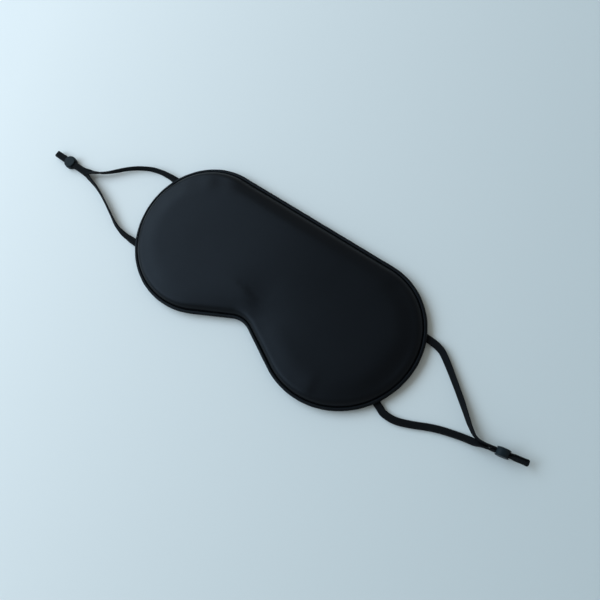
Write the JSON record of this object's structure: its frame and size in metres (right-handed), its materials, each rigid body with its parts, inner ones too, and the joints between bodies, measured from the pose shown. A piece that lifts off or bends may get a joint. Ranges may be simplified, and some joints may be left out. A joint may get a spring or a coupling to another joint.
{
  "type": "sleep mask",
  "caption": "Padded sleep mask with a nose notch, a piped edge and adjustable elastic ear loops.",
  "frame": {"origin": "middle of the mask's box at the back panel's flat skin-side face, without the ear loops", "axes": "+X along the mask's length, to the right in the picture; +Y to the straight forehead edge; +Z out of the front face"},
  "size_m": [0.3692, 0.0952, 0.0095],
  "materials": {
    "front_satin": "smooth black satin, slight sheen",
    "skin_fabric": "soft black brushed knit",
    "bias_tape": "black satin bias tape",
    "cotton_cord": "undyed twisted cotton",
    "foam": "open-cell polyurethane foam sheet",
    "wadding": "polyester wadding",
    "lining": "opaque coated black lining",
    "elastic": "ribbed black knitted elastic",
    "silicone": "dark grey silicone, semi-matte"
  },
  "bodies": {
    "mask": {"back_panel": "skin_fabric", "foam_pad": "foam", "blackout_lining": "lining", "front_wadding": "wadding", "front_panel": "front_satin", "piping_cover": "bias_tape", "piping_cord": "cotton_cord", "left_upper_elastic_end": "elastic", "left_lower_elastic_end": "elastic", "right_upper_elastic_end": "elastic", "right_lower_elastic_end": "elastic"},
    "left_loop": {"left_ear_loop": "elastic"},
    "right_loop": {"right_ear_loop": "elastic"},
    "left_slider": {"left_stopper": "silicone"},
    "right_slider": {"right_stopper": "silicone"}
  },
  "joints": [
    {"name": "left_loop_swing", "type": "hinge", "parent": "mask", "child": "left_loop", "pos_m": [-0.101, 0, 0.00175], "axis": [0, 1, 0], "range_deg": [-120, 120]},
    {"name": "right_loop_swing", "type": "hinge", "parent": "mask", "child": "right_loop", "pos_m": [0.101, 0, 0.00175], "axis": [0, -1, 0], "range_deg": [-120, 120]},
    {"name": "left_stopper_slide", "type": "slide", "parent": "left_loop", "child": "left_slider", "axis": [-1, 0, 0], "range_m": [-0.009, 0.0085]},
    {"name": "right_stopper_slide", "type": "slide", "parent": "right_loop", "child": "right_slider", "axis": [0.9796, 0.2011, 0], "range_m": [-0.005, 0.008]}
  ]
}
